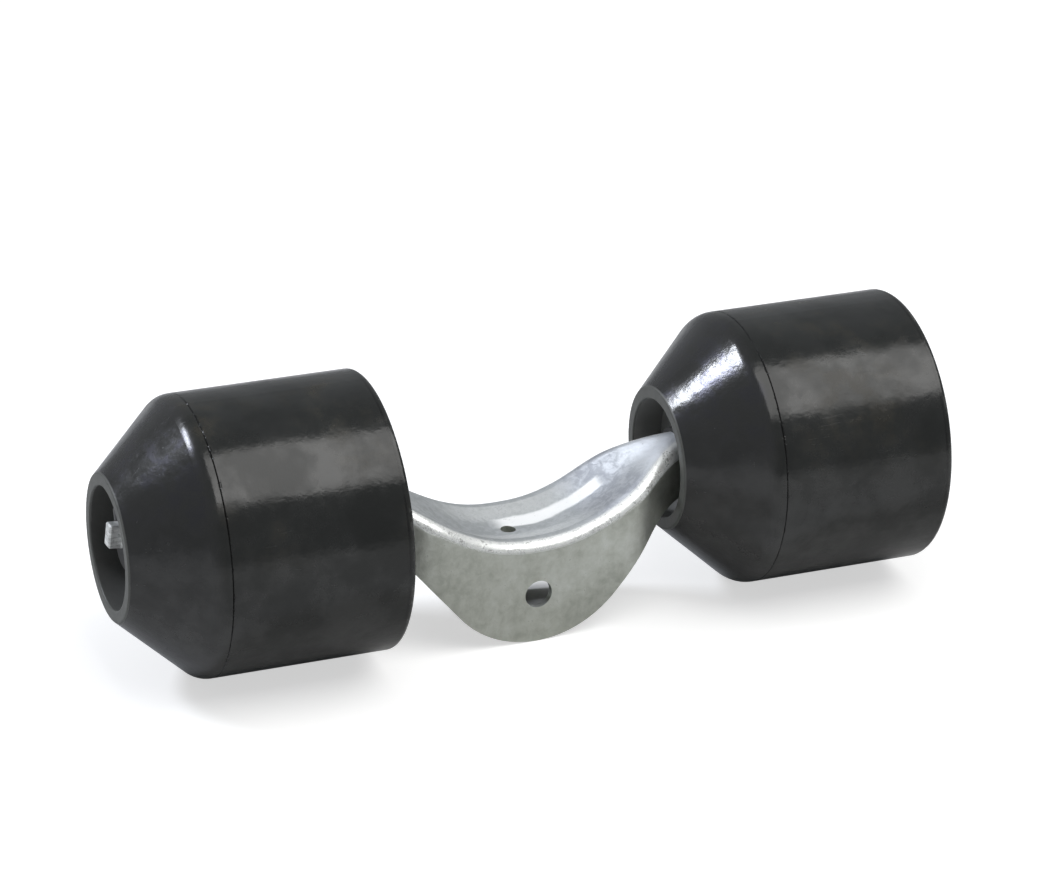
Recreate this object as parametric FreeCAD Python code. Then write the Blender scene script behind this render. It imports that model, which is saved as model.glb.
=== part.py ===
import FreeCAD, Part
import math
import os

V = FreeCAD.Vector

# Driving dimensions, all in millimetres and degrees
roller_radius = 62.5
roller_length = 119.3
roller_cone_length = 32.4
roller_shoulder_radius = 11.0
roller_rim_radius = 2.2
mouth_outer_radius = 32.6
mouth_inner_radius = 27.1
mouth_rim_rounding = 0.9
mouth_recess_radius = 29.3
flat_recess_radius = 40.0
recess_taper = 1.5
seam_past_shoulder = 0.2
seam_depth = 0.4
seam_width = 0.7
hub_recess = 13.65
hub_offset = 1.5

sheet = 3.0
bracket_width = 51.0
crest_height = 25.5
arm_room_above = 8.6
arm_room_below = 6.4
nose_depth = 23.2
nose_radius = 50.0
flank_angle = 49.0
heel_radius = 35.0
trough_depth = 4.2
trough_slope = 15.0
trough_start = 20.0
trough_crease = 0.6
ridge_radius = 6.2
neck_start = 42.0
neck_end = 84.0
rise_end = 84.0
rise_power = 1.2
end_flat_width = 2.0
station_pairs = 10
pivot_hole = 13.0
vent_hole = 7.0
vent_x = -4.0

hub_spacing = 264.0
hub_height = 44.0
spindle_diameter = 12.0
spindle_slope = 5.0
spindle_lift = 1.5
spindle_hold = 12.5
spindle_tip_length = 7.75
spindle_tip_flat = 5.6
spindle_tip_thickness = 6.0
spindle_tip_height = 10.6
spindle_tip_chamfer = 0.6
roller_yaw = -3.5
roller_pitch = 1.0

bush_radius = 19.5
bush_end_proud = 0.5
bush_lead = 1.0
bush_waist_half_length = 1.5
washer_radius = 16.8
washer_thickness = 2.5
washer_room = 3.7
pin_diameter = 3.6
pin_reach = 9.5
pin_eye_radius = 3.6
pin_leg_length = 7.0
pin_leg_angle = 55.0
pin_leg_offset = 0.65
pin_leg_radius = 1.0
pin_overlap = 0.3

# Clearances between the pieces
running_fit = 0.05
bore_gap = 0.5
arm_gap = 0.1
washer_play = 0.5
pin_gap = 0.05

# Allowed tilt of a roller on its spindle, used to size the bush bore
wobble_down = 2.0

# How far the cutting shapes reach past what they cut
cut_margin = 10.0
skin_reach = 3.0
skin_step = 1.0

# How close an edge lies to the place where it is looked for
match_tolerance = 0.1

# Values that follow from the dimensions above
hub_x = hub_spacing / 2.0
spindle_height = hub_height + spindle_lift
slope = math.radians(spindle_slope)
mouth_side = roller_length / 2.0 + hub_offset
flat_side = roller_length / 2.0 - hub_offset
boss_half_length = roller_length / 2.0 - hub_recess
bush_half_length = boss_half_length + bush_end_proud
washer_seat = bush_half_length + washer_room
arm_end = washer_seat + washer_thickness
arm_end_x = hub_x - arm_end * math.cos(slope)
end_width = spindle_diameter + 2.0 * (sheet + arm_gap)
end_ridge_radius = (end_width - end_flat_width) / 2.0
arm_spindle_height = spindle_height - arm_end * math.sin(slope)
crest_end_height = arm_spindle_height + spindle_diameter / 2.0 + arm_room_above
arm_end_low = arm_spindle_height - spindle_diameter / 2.0 - arm_room_below
pin_place = arm_end + pin_diameter / 2.0 + pin_gap
spindle_outer_end = pin_place + spindle_tip_length
spindle_inner_end = arm_end + spindle_hold


# Half of a cosine wave, running from nought to one
def blend(u):
    u = min(max(u, 0.0), 1.0)
    return (1.0 - math.cos(math.pi * u)) / 2.0


# Height of the two ridges of the bracket above the pivot at a station
def crest(x):
    u = min(abs(x) / rise_end, 1.0)
    return crest_height + (crest_end_height - crest_height) * blend(u ** rise_power)


# Outside width of the bracket at a station
def width(x):
    u = (abs(x) - neck_start) / (neck_end - neck_start)
    return bracket_width + (end_width - bracket_width) * blend(u)


# Share of the trough that is left at a station
def trough_share(x):
    u = (abs(x) - trough_start) / (neck_end - trough_start)
    return 1.0 - blend(u)


# Closed outline of the pressing at a station, moved in from the outer skin
def section(x, inset, bottom):
    half = width(x) / 2.0 - inset
    top = crest(x) - inset
    share = trough_share(x)
    ridge = end_ridge_radius + (ridge_radius - end_ridge_radius) * share - inset
    tip = math.radians(trough_slope * share)
    turn = (math.pi / 2.0 + tip) / 2.0
    mid_y = half - ridge
    mid_z = top - ridge
    right_arc = [V(x, mid_y + ridge * math.cos(a), mid_z + ridge * math.sin(a)) for a in (0, turn, 2.0 * turn)]
    left_arc = [V(p.x, -p.y, p.z) for p in reversed(right_arc)]
    low_left = V(x, -half, bottom)
    low_right = V(x, half, bottom)
    edges = [Part.makeLine(low_left, left_arc[2])]
    edges.append(Part.Arc(left_arc[2], left_arc[1], left_arc[0]).toShape())
    edges.append(trough(x, right_arc[2], tip, top - trough_depth * share))
    edges.append(Part.Arc(right_arc[2], right_arc[1], right_arc[0]).toShape())
    edges.append(Part.makeLine(right_arc[0], low_right))
    edges.append(Part.makeLine(low_right, low_left))
    return Part.Wire(edges)


# Soft V between the ridges: leaves each at the given slope, lowest in the middle
def trough(x, edge, tip, lowest):
    reach = edge.y * trough_crease
    side_y = edge.y - reach * math.cos(tip)
    side_z = edge.z - reach * math.sin(tip)
    middle_z = (16.0 * lowest - 2.0 * edge.z - 8.0 * side_z) / 6.0
    curve = Part.BezierCurve()
    poles = [V(x, -edge.y, edge.z), V(x, -side_y, side_z), V(x, 0, middle_z), V(x, side_y, side_z), edge]
    curve.setPoles(poles)
    return curve.toShape()


# Solid skinned over the outlines, reaching a little past both arm ends
def skinned(inset, bottom, reach):
    stations = [reach * i / station_pairs for i in range(-station_pairs, station_pairs + 1)]
    wires = [section(x, inset, bottom) for x in stations]
    return Part.makeLoft(wires, True, False)


# Lower edge of the side walls: rounded nose, straight flanks, rounded heels
def lower_edge_cutter():
    angle = math.radians(flank_angle)
    centre = -nose_depth + nose_radius
    nose = V(0, 0, -nose_depth)
    half_angle = angle / 2.0
    mid = V(nose_radius * math.sin(half_angle), 0, centre - nose_radius * math.cos(half_angle))
    flank = V(nose_radius * math.sin(angle), 0, centre - nose_radius * math.cos(angle))
    run = heel_radius * math.tan((angle - slope) / 2.0)
    reach = arm_end_x + skin_reach + skin_step
    heel_z = arm_end_low
    # the flank line meets the lower line of the arm here
    rise = math.tan(angle)
    fall = math.tan(slope)
    meet_x = (heel_z - fall * arm_end_x - flank.z + rise * flank.x) / (rise - fall)
    meet_z = flank.z + rise * (meet_x - flank.x)
    before = V(meet_x - run * math.cos(angle), 0, meet_z - run * math.sin(angle))
    after = V(meet_x + run * math.cos(slope), 0, meet_z + run * math.sin(slope))
    turn = (angle + slope) / 2.0
    hub = V(before.x + heel_radius * math.sin(angle), 0, before.z - heel_radius * math.cos(angle))
    bow = V(hub.x - heel_radius * math.sin(turn), 0, hub.z + heel_radius * math.cos(turn))
    last = V(reach, 0, meet_z + fall * (reach - meet_x))
    under = -nose_depth - 2.0 * cut_margin
    edges = [Part.Arc(nose, mid, flank).toShape()]
    edges.append(Part.makeLine(flank, before))
    edges.append(Part.Arc(before, bow, after).toShape())
    edges.append(Part.makeLine(after, last))
    edges.append(Part.makeLine(last, V(reach, 0, under)))
    edges.append(Part.makeLine(V(reach, 0, under), V(0, 0, under)))
    edges.append(Part.makeLine(V(0, 0, under), nose))
    face = Part.Face(Part.Wire(edges))
    face.translate(V(0, -bracket_width, 0))
    half = face.extrude(V(0, 2.0 * bracket_width, 0))
    return half, half.mirror(V(0, 0, 0), V(1, 0, 0))


# Point on the spindle axis of one side at a distance outward from the hub
def spindle_point(side, distance):
    x = side * (hub_x + distance * math.cos(slope))
    return V(x, 0, spindle_height + distance * math.sin(slope))


# Outward direction of the spindle of one side
def spindle_direction(side):
    return V(side * math.cos(slope), 0, math.sin(slope))


# Round bar along the spindle axis between two distances from the hub
def on_spindle(side, radius, start, stop):
    base = spindle_point(side, start)
    return Part.makeCylinder(radius, stop - start, base, spindle_direction(side))


# The pressed channel with its trough, necked arms and holes
def rocker_bracket():
    low = -nose_depth - cut_margin
    outer = skinned(0.0, low, arm_end_x + skin_reach)
    inner = skinned(sheet, low - cut_margin, arm_end_x + skin_reach + skin_step)
    body = outer.cut(inner)
    for cutter in lower_edge_cutter():
        body = body.cut(cutter)
    for side in (-1, 1):
        trim = on_spindle(side, hub_x, -arm_end, 2.0 * cut_margin)
        body = body.cut(trim)
    bore = Part.makeCylinder(pivot_hole / 2.0, 2.0 * bracket_width, V(0, -bracket_width, 0), V(0, 1, 0))
    vent = Part.makeCylinder(vent_hole / 2.0, crest_height + cut_margin, V(vent_x, 0, 0), V(0, 0, 1))
    return body.cut(bore).cut(vent).removeSplitter()


# Round bar fixed in the arm, with a tip pressed flat and a hole for the pin
def spindle(side):
    flat_start = spindle_outer_end - spindle_tip_flat
    bar = on_spindle(side, spindle_diameter / 2.0, -spindle_inner_end, flat_start)
    tip = Part.makeBox(spindle_tip_flat, spindle_tip_thickness, spindle_tip_height)
    tip.translate(V(flat_start, -spindle_tip_thickness / 2.0, -spindle_tip_height / 2.0))
    corners = [e for e in tip.Edges if e.CenterOfMass.x > flat_start + match_tolerance]
    tip = tip.makeChamfer(spindle_tip_chamfer, corners)
    tip.rotate(V(0, 0, 0), V(0, 1, 0), -spindle_slope)
    tip.translate(V(hub_x, 0, spindle_height))
    if side < 0:
        tip = tip.mirror(V(0, 0, 0), V(1, 0, 0))
    bar = bar.fuse(tip)
    return bar.cut(pin_bar(side, pin_diameter / 2.0 + pin_gap, spindle_diameter))


# Cross bar through the spindle at the place of the pin
def pin_bar(side, radius, reach):
    base = spindle_point(side, pin_place) - V(0, reach, 0)
    return Part.makeCylinder(radius, 2.0 * reach, base, V(0, 1, 0))


# Shaft of the pin, its eye at the front and its two legs bent at the back
def split_pin(side):
    centre = spindle_point(side, pin_place)
    radius = pin_diameter / 2.0
    out = spindle_direction(side)
    cross = out.cross(V(0, 1, 0))
    start = centre - V(0, pin_reach, 0)
    shaft = Part.makeCylinder(radius, 2.0 * pin_reach, start, V(0, 1, 0))
    wire = radius / 2.0
    eye_centre = start - V(0, pin_eye_radius - pin_overlap, 0)
    eye = Part.makeTorus(pin_eye_radius - wire, wire, eye_centre, out)
    legs = shaft.fuse(eye)
    bend = math.radians(pin_leg_angle)
    for way in (-1, 1):
        root = centre + V(0, pin_reach - 2.0 * pin_overlap, 0) + cross * (way * pin_leg_offset)
        aim = cross * (way * math.sin(bend)) + V(0, math.cos(bend), 0)
        legs = legs.fuse(Part.makeCylinder(pin_leg_radius, pin_leg_length, root, aim))
    return legs.removeSplitter()


# Flat washer on the spindle, hanging on it by the top of its bore
def washer(side, start):
    base = spindle_point(side, start) - spindle_normal(side) * washer_play
    way = spindle_direction(side)
    plate = Part.makeCylinder(washer_radius, washer_thickness, base, way)
    bore = spindle_diameter / 2.0 + washer_play
    return plate.cut(Part.makeCylinder(bore, washer_thickness, base, way))


# Upward direction square to the spindle of one side
def spindle_normal(side):
    return V(-side * math.sin(slope), 0, math.cos(slope))


# Outline of a roller turned about X, mouth to the left and hub at the origin
def roller_profile():
    m = -mouth_side
    f = flat_side
    corner_x = m + roller_cone_length
    cone = math.atan2(roller_radius - mouth_outer_radius, roller_cone_length)
    run = roller_shoulder_radius * math.tan(cone / 2.0)
    s1 = V(corner_x - run * math.cos(cone), 0, roller_radius - run * math.sin(cone))
    s2 = V(corner_x + run, 0, roller_radius)
    centre = V(s2.x, 0, roller_radius - roller_shoulder_radius)
    half = cone / 2.0
    way = V(-math.sin(half), 0, math.cos(half))
    smid = centre + way * roller_shoulder_radius
    seam = s2.x + seam_past_shoulder + seam_width / 2.0
    g1 = V(seam - seam_width / 2.0, 0, roller_radius)
    g2 = V(seam, 0, roller_radius - seam_depth)
    g3 = V(seam + seam_width / 2.0, 0, roller_radius)
    r1 = V(f - roller_rim_radius, 0, roller_radius)
    k = roller_rim_radius * math.sqrt(0.5)
    rmid = V(f - roller_rim_radius + k, 0, roller_radius - roller_rim_radius + k)
    r2 = V(f, 0, roller_radius - roller_rim_radius)
    bore = bush_radius + running_fit
    edges = [Part.makeLine(V(m, 0, mouth_inner_radius), V(m, 0, mouth_outer_radius))]
    edges.append(Part.makeLine(V(m, 0, mouth_outer_radius), s1))
    edges.append(Part.Arc(s1, smid, s2).toShape())
    edges.append(Part.makeLine(s2, g1))
    edges.append(Part.makeLine(g1, g2))
    edges.append(Part.makeLine(g2, g3))
    edges.append(Part.makeLine(g3, r1))
    edges.append(Part.Arc(r1, rmid, r2).toShape())
    corners = [r2, V(f, 0, flat_recess_radius + recess_taper)]
    corners.append(V(boss_half_length, 0, flat_recess_radius - recess_taper))
    corners.append(V(boss_half_length, 0, bore))
    corners.append(V(-boss_half_length, 0, bore))
    corners.append(V(-boss_half_length, 0, mouth_recess_radius))
    corners.append(V(m, 0, mouth_inner_radius))
    for a, b in zip(corners[:-1], corners[1:]):
        edges.append(Part.makeLine(a, b))
    return Part.Face(Part.Wire(edges))


# Puts a piece made about the origin on the hub of one side, turned as it lies
def at_hub(shape, side):
    shape.rotate(V(0, 0, 0), V(0, 1, 0), -roller_pitch)
    shape.rotate(V(0, 0, 0), V(0, 0, 1), roller_yaw)
    shape.translate(V(side * hub_x, 0, hub_height))
    return shape


# Moulded rubber roller
def roller(side):
    body = roller_profile().revolve(V(0, 0, 0), V(1, 0, 0), 360.0)
    rims = [e for e in body.Edges if is_mouth_rim(e)]
    body = body.makeFillet(mouth_rim_rounding, rims)
    return at_hub(body, side)


# True for the two round edges of the mouth
def is_mouth_rim(edge):
    if not hasattr(edge.Curve, "Radius"):
        return False
    on_face = abs(edge.CenterOfMass.x + mouth_side) < match_tolerance
    return on_face and edge.Curve.Radius < mouth_outer_radius + match_tolerance


# Bore radius that clears the tilted spindle at a distance from the hub
def bush_bore(distance):
    tilt = slope + math.radians(wobble_down)
    up = spindle_lift + distance * math.tan(tilt)
    across = distance * math.tan(math.radians(abs(roller_yaw)))
    half = spindle_diameter / 2.0 / math.cos(tilt)
    return half + math.hypot(up, across) + bore_gap


# Bush with a waisted bore that lets the roller rock on its spindle
def hub_bush(side):
    e = bush_half_length
    waist = bush_bore(0.0)
    flare = bush_bore(e)
    lead = bush_lead
    points = [V(-e, 0, flare), V(-e, 0, bush_radius - lead), V(-e + lead, 0, bush_radius)]
    points.append(V(e - lead, 0, bush_radius))
    points.append(V(e, 0, bush_radius - lead))
    points.append(V(e, 0, flare))
    points.append(V(bush_waist_half_length, 0, waist))
    points.append(V(-bush_waist_half_length, 0, waist))
    points.append(points[0])
    body = Part.Face(Part.makePolygon(points)).revolve(V(0, 0, 0), V(1, 0, 0), 360.0)
    return at_hub(body, side)


# Writes one piece to its own file
def save(shape, name):
    solid = shape.Solids[0] if len(shape.Solids) == 1 else shape
    solid.exportStep("parts/" + name + ".step")
    box = solid.BoundBox
    size = [round(v, 1) for v in (box.XMin, box.XMax, box.YMin, box.YMax, box.ZMin, box.ZMax)]
    print(name, len(shape.Solids), solid.isValid(), round(solid.Volume), size)


os.makedirs("parts", exist_ok=True)
save(rocker_bracket(), "rocker_bracket")
for side, hand in ((-1, "left"), (1, "right")):
    save(spindle(side), hand + "_spindle")
    save(roller(side), hand + "_roller")
    save(hub_bush(side), hand + "_hub_bush")
    save(washer(side, -arm_end), hand + "_inner_washer")
    save(washer(side, washer_seat), hand + "_outer_washer")
    save(split_pin(side), hand + "_split_pin")
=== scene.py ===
import math
import bpy
from mathutils import Matrix, Vector

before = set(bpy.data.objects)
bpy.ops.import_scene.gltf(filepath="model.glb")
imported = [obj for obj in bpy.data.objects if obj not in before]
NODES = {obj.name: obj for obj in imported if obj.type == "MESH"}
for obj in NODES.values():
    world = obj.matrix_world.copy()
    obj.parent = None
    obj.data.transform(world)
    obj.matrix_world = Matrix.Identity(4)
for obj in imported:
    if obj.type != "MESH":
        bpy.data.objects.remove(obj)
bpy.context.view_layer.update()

# Places taken from the model, in metres
HUB_X = 0.132
AXIS_Z = 0.044
FLOOR_Z = -0.0232

# Places along the axis of a roller, counted from its hub, and the radius of its mouth
MOUTH = -0.06115
SEAM = -0.02375
PLAIN_END = 0.05815
MOUTH_RADIUS = 0.0305

# Rest angles of the rollers
YAW = math.radians(-3.5)
PITCH = math.radians(1.0)

# Tones of the rubber
RUBBER = (0.0145, 0.0155, 0.0148)
RUBBER_CONE = (0.0228, 0.0232, 0.0230)
RUBBER_LIP = (0.090, 0.093, 0.086)
RUBBER_WORN = (0.060, 0.060, 0.057)
RUBBER_GROOVE = (0.0045, 0.0045, 0.0045)
CONE_GLEAM = (0.60, 0.60, 0.80)
DUST_COOL = (0.022, 0.024, 0.021)
DUST_WARM = (0.027, 0.025, 0.019)
# Painted fill light inside the mouth and recess of each roller, stronger on the right where
# the shade is deeper
RECESS_PAINTED_FILL = {"left": (0.100, 0.101, 0.097), "right": (0.25, 0.25, 0.245)}

# Tones of the galvanised sheet
SHEET_TONES = (
    (0.34, (0.42, 0.435, 0.39)),
    (0.50, (0.53, 0.55, 0.50)),
    (0.66, (0.62, 0.64, 0.60)),
)
# Painted highlight on the upper bends of the sheet
SHEET_BEND_PAINTED_HIGHLIGHT = (0.93, 0.945, 0.93)
SHEET_PIT = (0.22, 0.23, 0.215)
# Painted reflection and painted shade on the upper face of the web
WEB_NOSE_PAINTED_REFLECTION = (0.48, 0.505, 0.53)
WEB_SLOPE_PAINTED_SHADE = (0.31, 0.325, 0.38)
WEB_ARM_PAINTED_REFLECTION = (0.78, 0.81, 0.88)
WEB_CLOUD_PAINTED_SHEEN = (0.76, 0.78, 0.83)
# Zinc run in the web valley, its near white partly a painted highlight streak
ZINC_RUN_PAINTED_STREAK = (0.95, 0.96, 0.96)

# Tones of the bar, the pins and the bushes
BAR_TONES = (
    (0.36, (0.52, 0.53, 0.52)),
    (0.50, (0.76, 0.77, 0.76)),
    (0.62, (0.95, 0.96, 0.95)),
)
BAR_LUMP = (0.30, 0.31, 0.30)
PIN_TONE = (0.20, 0.20, 0.20)
BUSH_DARK = (0.008, 0.008, 0.008)
BUSH_LIGHT = (0.014, 0.014, 0.014)

# Noise patterns of the rubber: scale, detail, roughness and, where used, distortion
RUBBER_CLOUD = (22.0, 5.0, 0.62, 0.15)
RUBBER_BLOTCH = (38.0, 5.0, 0.62, 0.15)
RUBBER_SMEAR = (95.0, 5.0, 0.66, 0.2)
RUBBER_TURN = (140.0, 3.0, 0.7)
RUBBER_SCUFF = (300.0, 3.0, 0.6, 0.4)
RUBBER_FINE = (420.0, 4.0, 0.65)
RUBBER_GRAIN = (1600.0, 2.0, 0.6)

# Noise patterns of the metals and the bushes, in the same order
SHEET_PATCH = (30.0, 4.0, 0.55, 0.6)
SHEET_WAVE = (60.0, 3.0, 0.6)
SHEET_MOTTLE = (230.0, 5.0, 0.66, 0.4)
SHEET_RUNS = (240.0, 3.0, 0.6, 0.3)
SHEET_FINE = (1000.0, 3.0, 0.6)
BAR_LINES = (260.0, 4.0, 0.65, 0.4)
BAR_LUMPS = (380.0, 4.0, 0.6, 0.5)
PIN_FINE = (500.0, 3.0, 0.6)
BUSH_FINE = (400.0, 3.0, 0.6)

# Floor: half its side, its tones, and the patch under the channel that stays in shadow
FLOOR_HALF = 40.0
FLOOR_DROP = 0.0001
FLOOR_TONE = (0.62, 0.62, 0.62)
FLOOR_SHADE = (0.55, 0.55, 0.54)
SHADE_CENTRE = (0.016, 0.012, 0.0)
SHADE_SQUEEZE = (0.75, 1.0, 0.0)

# World: its tone and the direction in which it is a little brighter
WHITE = (1.0, 1.0, 1.0)
SKY_TONE = (0.93, 0.96, 1.0)
SKY_AIM = (0.395, 0.823, 0.407)

# Camera: angles in degrees, lens and sensor in millimetres, place in metres
CAMERA_PLACE = (-0.74168, -1.54872, 0.83001)
CAMERA_AZIMUTH = -25.676
CAMERA_ELEVATION = 24.005
CAMERA_ROLL = 1.9446
CAMERA_LENS = 144.759
CAMERA_SENSOR = 36.0
CAMERA_REACH = 200.0


# Short calls for building one node tree
class Graph:
    def __init__(self, tree):
        self.tree = tree
        tree.nodes.clear()

    def node(self, kind, **props):
        n = self.tree.nodes.new(kind)
        for key, value in props.items():
            setattr(n, key, value)
        return n

    # A socket is linked, a tone gets its alpha, and any other value is set
    def put(self, socket, value):
        if isinstance(value, bpy.types.NodeSocket):
            self.tree.links.new(value, socket)
        elif socket.type == "RGBA":
            socket.default_value = (*value, 1)
        else:
            socket.default_value = value

    def place(self, kind="Object"):
        return self.node("ShaderNodeTexCoord").outputs[kind]

    def mapped(self, vec, rotation=(0, 0, 0), scale=(1, 1, 1)):
        n = self.node("ShaderNodeMapping")
        self.put(n.inputs["Vector"], vec)
        self.put(n.inputs["Rotation"], rotation)
        self.put(n.inputs["Scale"], scale)
        return n.outputs[0]

    def split(self, vec):
        n = self.node("ShaderNodeSeparateXYZ")
        self.put(n.inputs[0], vec)
        return n.outputs

    def vector(self, op, a, b):
        n = self.node("ShaderNodeVectorMath", operation=op)
        self.put(n.inputs[0], a)
        self.put(n.inputs[1], b)
        return n.outputs["Value" if op == "DOT_PRODUCT" else "Vector"]

    def length(self, vec):
        n = self.node("ShaderNodeVectorMath", operation="LENGTH")
        self.put(n.inputs[0], vec)
        return n.outputs["Value"]

    def math(self, op, a, *rest):
        n = self.node("ShaderNodeMath", operation=op)
        for socket, value in zip(n.inputs, (a, *rest)):
            self.put(socket, value)
        return n.outputs[0]

    def times(self, first, *rest):
        for value in rest:
            first = self.math("MULTIPLY", first, value)
        return first

    def plus(self, first, *rest):
        for value in rest:
            first = self.math("ADD", first, value)
        return first

    def minus(self, a, b):
        return self.math("SUBTRACT", a, b)

    def most(self, a, b):
        return self.math("MAXIMUM", a, b)

    # Smooth step of a value between two limits
    def span(self, value, low, high, to_low=0.0, to_high=1.0):
        n = self.node("ShaderNodeMapRange", interpolation_type="SMOOTHSTEP")
        self.put(n.inputs["Value"], value)
        self.put(n.inputs["From Min"], low)
        self.put(n.inputs["From Max"], high)
        self.put(n.inputs["To Min"], to_low)
        self.put(n.inputs["To Max"], to_high)
        return n.outputs["Result"]

    # One inside a band round a centre, with soft edges
    def band(self, value, centre, half, soft):
        away = self.math("ABSOLUTE", self.minus(value, centre))
        return self.span(away, half + soft, half)

    def noise(self, vec, scale, detail, rough, distort=0.0):
        n = self.node("ShaderNodeTexNoise")
        self.put(n.inputs["Vector"], vec)
        self.put(n.inputs["Scale"], scale)
        self.put(n.inputs["Detail"], detail)
        self.put(n.inputs["Roughness"], rough)
        self.put(n.inputs["Distortion"], distort)
        return n.outputs["Fac"]

    def ramp(self, value, stops):
        n = self.node("ShaderNodeValToRGB")
        items = n.color_ramp.elements
        while len(items) < len(stops):
            items.new(0.5)
        for item, (place, tone) in zip(items, stops):
            item.position = place
            item.color = (*tone, 1)
        self.put(n.inputs["Fac"], value)
        return n.outputs["Color"]

    def mix(self, fac, a, b):
        n = self.node("ShaderNodeMix", data_type="RGBA")
        self.put(n.inputs["Factor"], fac)
        self.put(n.inputs[6], a)
        self.put(n.inputs[7], b)
        return n.outputs[2]

    def bump(self, height, strength, distance, normal=None):
        n = self.node("ShaderNodeBump")
        self.put(n.inputs["Height"], height)
        self.put(n.inputs["Strength"], strength)
        self.put(n.inputs["Distance"], distance)
        if normal is not None:
            self.put(n.inputs["Normal"], normal)
        return n.outputs[0]


# The same calls for a new material with one main surface
class Shader(Graph):
    def __init__(self, name):
        self.mat = bpy.data.materials.new(name)
        self.mat.use_nodes = True
        super().__init__(self.mat.node_tree)
        out = self.node("ShaderNodeOutputMaterial")
        self.surface = self.node("ShaderNodeBsdfPrincipled")
        self.put(out.inputs[0], self.surface.outputs[0])

    def set(self, **values):
        for key, value in values.items():
            self.put(self.surface.inputs[key.replace("_", " ")], value)


# Black moulded rubber of one roller, worked out along its own axis
def rubber(name, side, seed, recess_fill):
    s = Shader(name)
    local = s.vector("ADD", s.place(), (-side * HUB_X, 0, -AXIS_Z))
    local = s.mapped(local, rotation=(0, 0, -YAW))
    local = s.mapped(local, rotation=(0, PITCH, 0))
    along, across, up = s.split(local)
    v = s.vector("ADD", local, (seed, seed * 0.7, seed * 1.3))
    cloud = s.noise(v, *RUBBER_CLOUD)
    smear = s.noise(v, *RUBBER_SMEAR)
    blotch = s.noise(v, *RUBBER_BLOTCH)
    fine = s.noise(v, *RUBBER_FINE)
    grain = s.noise(v, *RUBBER_GRAIN)
    turnwise = s.noise(v, *RUBBER_TURN)
    scuff = s.noise(s.vector("MULTIPLY", v, (0.12, 1.0, 1.0)), *RUBBER_SCUFF)

    # Dust lies in patches on what faces up, brownish in some of them
    dust = s.times(s.span(cloud, 0.42, 0.62), s.span(smear, 0.36, 0.60, 0.25, 1.0))
    facing = s.times(s.span(up, -0.005, 0.045), s.span(fine, 0.3, 0.7, 0.6, 1.0))
    dust = s.times(dust, facing)
    base = s.mix(dust, RUBBER, s.mix(s.span(smear, 0.42, 0.58), DUST_COOL, DUST_WARM))
    cone = s.span(along, SEAM - 0.002, SEAM - 0.007)
    drum = s.minus(1.0, cone)
    base = s.mix(s.times(cone, 0.85), base, RUBBER_CONE)

    # Inside the mouth and the recess the rubber is painted lighter, a painted fill light
    # against the shade in there, and the lip is pale
    reach = s.math("SQRT", s.plus(s.times(across, across), s.times(up, up)))
    within = s.span(reach, MOUTH_RADIUS + 0.0015, MOUTH_RADIUS)
    lip = s.span(along, MOUTH + 0.0010, MOUTH + 0.0004)
    lip = s.times(lip, s.span(fine, 0.25, 0.6, 0.7, 1.0))
    off_lip = s.minus(1.0, lip)
    inside = s.times(within, s.span(along, -0.01, -0.02), off_lip)
    base = s.mix(inside, base, recess_fill)
    base = s.mix(lip, base, RUBBER_LIP)

    # Nicks and flash left along the parting line
    nick = s.times(s.band(along, SEAM, 0.0005, 0.0004), s.span(turnwise, 0.54, 0.60))
    patchy = s.span(smear, 0.40, 0.55, 0.3, 1.0)
    line = s.times(s.band(along, SEAM, 0.0002, 0.0003), patchy)
    base = s.mix(s.times(s.most(nick, line), 0.8), base, RUBBER_GROOVE)

    # Thin dark line and worn spots just inside the plain end
    patchy = s.span(smear, 0.40, 0.52, 0.3, 1.0)
    rim = s.times(s.band(along, PLAIN_END - 0.0030, 0.0002, 0.0004), patchy)
    base = s.mix(s.times(rim, 0.8), base, RUBBER_GROOVE)
    spots = s.span(turnwise, 0.52, 0.60)
    worn = s.times(s.band(along, PLAIN_END - 0.0014, 0.0003, 0.0006), spots)
    base = s.mix(s.times(worn, 0.7), base, RUBBER_WORN)

    # Polish differs between drum and cone, and handling leaves dull scratches
    drum_polish = s.times(drum, s.span(blotch, 0.38, 0.62, 0.40, 0.63))
    cone_polish = s.times(cone, s.span(smear, 0.36, 0.64, 0.44, 0.60))
    polish = s.plus(drum_polish, cone_polish)
    sheen = s.span(cloud, 0.38, 0.62, 0.15, 0.19)
    sheen = s.plus(sheen, s.span(smear, 0.42, 0.62, 0.0, 0.05))
    scratch = s.times(s.span(scuff, 0.62, 0.70), s.span(cloud, 0.48, 0.60))
    rough = s.plus(sheen, s.times(dust, 0.07), s.times(scratch, 0.12))
    rough = s.plus(rough, s.times(s.most(inside, lip), 0.30))

    # The upper side of the cone gleams a little bluish
    high = s.times(s.span(smear, 0.45, 0.60), s.span(up, 0.015, 0.035))
    gleam = s.times(s.times(cone, high), s.times(off_lip, 0.8))
    tint = s.mix(gleam, WHITE, CONE_GLEAM)
    s.set(Base_Color=base, Roughness=rough, IOR=1.48)
    s.set(Specular_IOR_Level=polish, Specular_Tint=tint)
    normal = s.bump(blotch, 0.30, 0.0012)
    normal = s.bump(smear, 0.09, 0.0007, normal)
    normal = s.bump(fine, 0.05, 0.0002, normal)
    normal = s.bump(grain, 0.04, 0.0001, normal)
    normal = s.bump(s.minus(1.0, nick), 0.4, 0.0004, normal)
    s.set(Normal=normal)
    return s.mat


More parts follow.
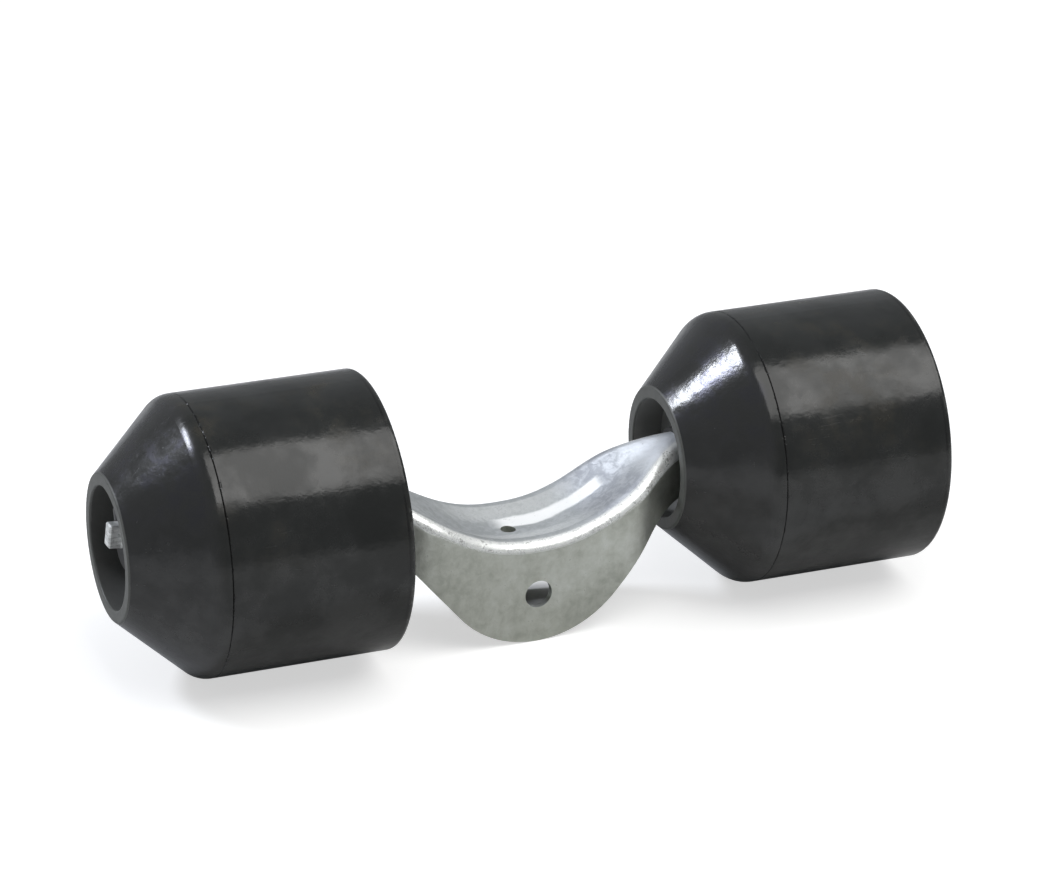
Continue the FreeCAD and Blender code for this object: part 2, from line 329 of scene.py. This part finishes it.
# Hot-dip galvanised steel
def galvanised(name):
    s = Shader(name)
    v = s.mapped(s.place())
    x, y, z = s.split(v)
    patch = s.noise(v, *SHEET_PATCH)
    mottle = s.noise(v, *SHEET_MOTTLE)
    fine = s.noise(v, *SHEET_FINE)
    runs = s.noise(s.mapped(s.place(), scale=(1, 1, 0.25)), *SHEET_RUNS)
    grey = s.plus(s.times(patch, 0.40), s.times(mottle, 0.42), s.times(runs, 0.18))
    base = s.ramp(grey, SHEET_TONES)

    # The upper face of the web is painted in other tones along the channel as painted
    # reflection: bluish and bright on the arm, darker as painted shade on the slope, with
    # clouds of painted sheen
    facing = s.node("ShaderNodeNewGeometry").outputs["True Normal"]
    _, ny, nz = s.split(facing)
    flat_up = s.span(nz, 0.55, 0.85)
    slope = s.times(s.span(x, 0.020, 0.038), s.span(x, 0.064, 0.050))
    web = s.mix(slope, WEB_NOSE_PAINTED_REFLECTION, WEB_SLOPE_PAINTED_SHADE)
    web = s.mix(s.span(x, 0.052, 0.066), web, WEB_ARM_PAINTED_REFLECTION)
    web = s.mix(s.times(s.span(mottle, 0.42, 0.60), 0.35), web, WEB_CLOUD_PAINTED_SHEEN)
    base = s.mix(s.times(flat_up, 0.75), base, web)

    # Upper bends of the sheet are painted bright as a painted highlight
    lean = s.math("ABSOLUTE", ny)
    bend = s.times(s.span(lean, 0.20, 0.42), s.span(lean, 0.99, 0.93))
    bend = s.times(bend, s.span(nz, 0.05, 0.25), s.span(mottle, 0.34, 0.46, 0.60, 1.0))
    base = s.mix(s.times(bend, 0.95), base, SHEET_BEND_PAINTED_HIGHLIGHT)

    # Zinc that ran down the valley of the web and dried in a thicker line, painted near white
    # as a painted highlight streak along the valley
    wave = s.times(s.minus(s.noise(v, *SHEET_WAVE), 0.5), 0.004)
    run = s.band(s.plus(y, wave), 0.0050, 0.0026, 0.0018)
    run = s.times(run, s.times(s.span(x, -0.012, -0.002), s.span(x, 0.045, 0.041)))
    run = s.times(run, s.times(flat_up, s.span(z, 0.012, 0.014)))
    base = s.mix(run, base, ZINC_RUN_PAINTED_STREAK)

    # Pits and specks, thick on the bends
    specks = s.times(s.span(fine, 0.62, 0.72), s.span(mottle, 0.50, 0.60))
    pits = s.times(s.span(fine, 0.50, 0.58), s.span(mottle, 0.51, 0.58))
    marks = s.most(s.times(specks, 0.5), s.times(pits, bend, 0.6))
    base = s.mix(marks, base, SHEET_PIT)

    # Bends and the zinc run are smoother and less metallic than the walls
    rough = s.plus(s.span(patch, 0.3, 0.7, 0.52, 0.42), s.span(mottle, 0.3, 0.7, 0.05, -0.06))
    rough = s.plus(rough, s.times(flat_up, 0.02))
    rough = s.minus(rough, s.times(run, 0.15))
    rough = s.minus(rough, s.times(bend, 0.19))
    metal = s.minus(1.0, s.times(bend, 0.45))
    metal = s.minus(metal, s.times(flat_up, 0.30))
    metal = s.most(s.minus(metal, s.times(run, 0.5)), 0.2)
    s.set(Base_Color=base, Metallic=metal, Roughness=rough)
    normal = s.bump(mottle, 0.30, 0.0005)
    normal = s.bump(fine, 0.20, 0.0002, normal)
    s.set(Normal=s.bump(run, 0.5, 0.0004, normal))
    return s.mat


# Lumpy galvanised bar of the spindles
def rough_bar(name):
    s = Shader(name)
    lines = s.noise(s.mapped(s.place(), scale=(0.5, 0.5, 3.0)), *BAR_LINES)
    lumps = s.noise(s.mapped(s.place()), *BAR_LUMPS)
    tone = s.ramp(lines, BAR_TONES)
    tone = s.mix(s.times(s.span(lumps, 0.56, 0.68), 0.6), tone, BAR_LUMP)
    s.set(Base_Color=tone, Metallic=0.55, Roughness=s.span(lumps, 0.3, 0.7, 0.42, 0.60))
    s.set(Normal=s.bump(lines, 0.4, 0.0006, s.bump(lumps, 0.3, 0.0004)))
    return s.mat


# Dull zinc of the split pins
def plain_metal(name, base, rough):
    s = Shader(name)
    fine = s.noise(s.mapped(s.place()), *PIN_FINE)
    darker = tuple(c * 0.85 for c in base)
    tone = s.mix(s.span(fine, 0.3, 0.7), darker, base)
    dull = s.span(fine, 0.3, 0.7, rough - 0.05, rough + 0.08)
    s.set(Base_Color=tone, Metallic=1.0, Roughness=dull)
    s.set(Normal=s.bump(fine, 0.2, 0.0003))
    return s.mat


# Black plastic of the bushes and washers
def bush_plastic(name):
    s = Shader(name)
    fine = s.noise(s.mapped(s.place()), *BUSH_FINE)
    s.set(Base_Color=s.mix(fine, BUSH_DARK, BUSH_LIGHT), Roughness=0.6)
    s.set(Normal=s.bump(fine, 0.1, 0.0002))
    return s.mat


def dress(node, mat):
    for slot in NODES[node].material_slots:
        slot.material = mat


# Pale floor that keeps its shadow and looks white from afar
def stage_floor():
    mesh = bpy.data.meshes.new("floor")
    low, high, z = -FLOOR_HALF, FLOOR_HALF, FLOOR_Z - FLOOR_DROP
    corners = [(low, low, z), (high, low, z), (high, high, z), (low, high, z)]
    mesh.from_pydata(corners, [], [(0, 1, 2, 3)])
    floor = bpy.data.objects.new("floor", mesh)
    bpy.context.scene.collection.objects.link(floor)
    mat = bpy.data.materials.new("floor_white")
    mat.use_nodes = True
    g = Graph(mat.node_tree)
    place = g.place()
    seen = g.node("ShaderNodeLightPath").outputs["Is Camera Ray"]
    strength = g.times(seen, g.span(g.length(place), 0.9, 3.0, 0.58, 0.92))
    spot = g.vector("SUBTRACT", place, SHADE_CENTRE)
    spot = g.vector("MULTIPLY", spot, SHADE_SQUEEZE)
    fade = g.span(g.length(spot), 0.010, 0.027)
    matt = g.node("ShaderNodeBsdfDiffuse")
    g.put(matt.inputs["Color"], g.mix(fade, FLOOR_SHADE, FLOOR_TONE))
    glow = g.node("ShaderNodeEmission")
    g.put(glow.inputs["Color"], WHITE)
    g.put(glow.inputs["Strength"], g.times(strength, fade))
    both = g.node("ShaderNodeAddShader")
    g.put(both.inputs[0], matt.outputs[0])
    g.put(both.inputs[1], glow.outputs[0])
    g.put(g.node("ShaderNodeOutputMaterial").inputs[0], both.outputs[0])
    mesh.materials.append(mat)


# Soft pale world, plain white where the camera looks past the floor
def light_world():
    world = bpy.data.worlds.new("studio")
    bpy.context.scene.world = world
    world.use_nodes = True
    g = Graph(world.node_tree)
    soft = g.node("ShaderNodeBackground")
    toward = g.vector("DOT_PRODUCT", g.place("Generated"), SKY_AIM)
    g.put(soft.inputs["Color"], SKY_TONE)
    g.put(soft.inputs["Strength"], g.span(toward, 0.6, 1.0, 0.29, 0.34))
    white = g.node("ShaderNodeBackground")
    g.put(white.inputs["Color"], WHITE)
    g.put(white.inputs["Strength"], 1.0)
    seen = g.node("ShaderNodeLightPath").outputs["Is Camera Ray"]
    choice = g.node("ShaderNodeMixShader")
    for socket, value in zip(choice.inputs, (seen, soft.outputs[0], white.outputs[0])):
        g.put(socket, value)
    g.put(g.node("ShaderNodeOutputWorld").inputs[0], choice.outputs[0])


def area_light(name, place, target, size, watts, colour):
    data = bpy.data.lights.new(name, "AREA")
    data.shape = "RECTANGLE"
    data.size, data.size_y = size
    data.energy = watts
    data.color = colour
    ob = bpy.data.objects.new(name, data)
    bpy.context.scene.collection.objects.link(ob)
    aim = Vector(target) - Vector(place)
    ob.location = place
    ob.rotation_euler = aim.to_track_quat("-Z", "Y").to_euler()


def place_camera():
    cam = bpy.data.cameras.new("photo_camera")
    cam.sensor_fit = "HORIZONTAL"
    cam.sensor_width = CAMERA_SENSOR
    cam.lens = CAMERA_LENS
    cam.clip_end = CAMERA_REACH
    ob = bpy.data.objects.new("photo_camera", cam)
    bpy.context.scene.collection.objects.link(ob)
    az = math.radians(CAMERA_AZIMUTH)
    el = math.radians(CAMERA_ELEVATION)
    roll = math.radians(CAMERA_ROLL)
    level = math.cos(el)
    back = Vector((math.sin(az) * level, -math.cos(az) * level, math.sin(el)))
    right = Vector((math.cos(az), math.sin(az), 0))
    up = back.cross(right)
    rolled_right = right * math.cos(roll) + up * math.sin(roll)
    rolled_up = up * math.cos(roll) - right * math.sin(roll)
    turn = Matrix((rolled_right, rolled_up, back)).transposed().to_4x4()
    ob.matrix_world = Matrix.Translation(CAMERA_PLACE) @ turn
    bpy.context.scene.camera = ob


steel = galvanised("galvanised_sheet")
bar = rough_bar("galvanised_bar")
zinc = plain_metal("zinc_plated", PIN_TONE, 0.55)
nylon = bush_plastic("black_nylon")
dress("rocker_bracket", steel)
for side, hand in ((-1, "left"), (1, "right")):
    dress(hand + "_roller", rubber(hand + "_rubber", side, 3.1 + side, RECESS_PAINTED_FILL[hand]))
    dress(hand + "_spindle", bar)
    for piece in ("_hub_bush", "_inner_washer", "_outer_washer"):
        dress(hand + piece, nylon)
    dress(hand + "_split_pin", zinc)

stage_floor()
light_world()
area_light("overhead_softbox", (0.45, -0.60, 1.2), (0.45, -0.60, 0.0),
           (1.7, 1.12), 17.5, (1.0, 0.99, 0.97))
area_light("side_window", (-1.76, 1.43, 2.11), (0, 0, 0.02),
           (0.8, 0.42), 52.0, (0.88, 0.92, 1.0))
place_camera()
bpy.context.scene.view_settings.view_transform = "Standard"
